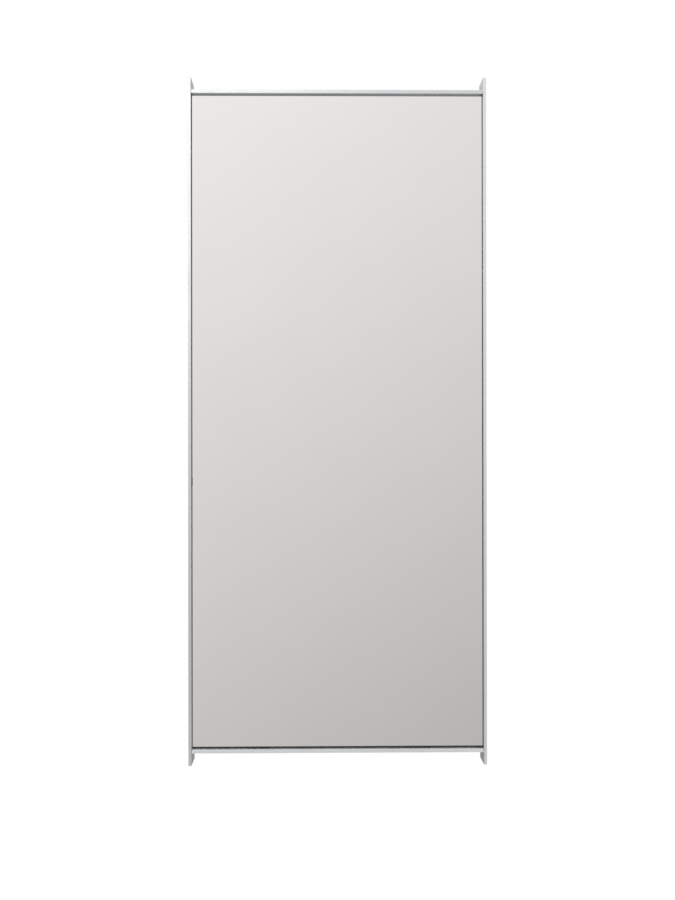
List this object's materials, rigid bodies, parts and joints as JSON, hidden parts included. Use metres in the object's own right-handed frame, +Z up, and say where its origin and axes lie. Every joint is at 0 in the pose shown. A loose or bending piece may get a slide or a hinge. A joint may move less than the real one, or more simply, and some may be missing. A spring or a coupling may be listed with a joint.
{
  "type": "wall mirror",
  "caption": "Tall wall mirror: a recessed glass pane in a slim frame of flat metal bars, the side bars running past the rails, hung on an interlocking wall cleat.",
  "frame": {"origin": "middle of the wall cleat's pair of round wall screw holes, on the wall plane", "axes": "+X to the right as seen from the front, +Y into the wall, +Z up; the mirror faces -Y"},
  "size_m": [0.5, 0.052, 1.153],
  "materials": {
    "bar_aluminium": "satin clear anodised flat bar",
    "cleat_aluminium": "mill finish extrusion",
    "silvered_glass": "polished silvered float glass with ground edges",
    "backing_film": "grey safety film",
    "mounting_tape": "double sided foam tape",
    "adhesive": "cured neutral mirror adhesive",
    "fibreboard": "sealed medium density fibreboard",
    "plywood": "sanded birch plywood",
    "black_foam": "closed cell foam strip",
    "grey_foam": "closed cell foam strip",
    "black_rubber": "moulded rubber block",
    "black_plastic": "moulded plastic packer",
    "bracket_steel": "zinc plated pressed steel",
    "screw_steel": "zinc plated steel",
    "bumper_rubber": "moulded rubber"
  },
  "bodies": {
    "wall_fixing": {"wall_cleat": "cleat_aluminium"},
    "hung_mirror": {"adhesive_beads": "adhesive", "backing_board": "fibreboard", "board_screws": "screw_steel", "bottom_centre_bracket": "bracket_steel", "bottom_foam_strip": "black_foam", "bottom_rail": "bar_aluminium", "bottom_rail_screws": "screw_steel", "frame_cleat": "cleat_aluminium", "frame_cleat_screws": "screw_steel", "hanging_batten": "plywood", "hanging_batten_screws": "screw_steel", "left_bar_screws": "screw_steel", "left_bumper": "bumper_rubber", "left_bumper_screw": "screw_steel", "left_foam_strip": "black_foam", "left_side_bar": "bar_aluminium", "left_side_packer": "black_plastic", "lower_batten": "plywood", "lower_batten_screws": "screw_steel", "lower_left_corner_bracket": "bracket_steel", "lower_left_side_bracket": "bracket_steel", "lower_right_corner_bracket": "bracket_steel", "lower_right_side_bracket": "bracket_steel", "mirror_glass": "silvered_glass", "mounting_tape_strips": "mounting_tape", "right_bar_screws": "screw_steel", "right_bumper": "bumper_rubber", "right_bumper_screw": "screw_steel", "right_foam_strip": "black_foam", "right_side_bar": "bar_aluminium", "safety_backing_film": "backing_film", "setting_blocks": "black_rubber", "top_centre_bracket": "bracket_steel", "top_foam_strip": "grey_foam", "top_rail": "bar_aluminium", "top_rail_screws": "screw_steel", "upper_left_corner_bracket": "bracket_steel", "upper_left_side_bracket": "bracket_steel", "upper_right_corner_bracket": "bracket_steel", "upper_right_side_bracket": "bracket_steel"}
  },
  "joints": [
    {"name": "lift_off", "type": "slide", "parent": "wall_fixing", "child": "hung_mirror", "axis": [0, 0, 1], "range_m": [0, 0.012]}
  ]
}
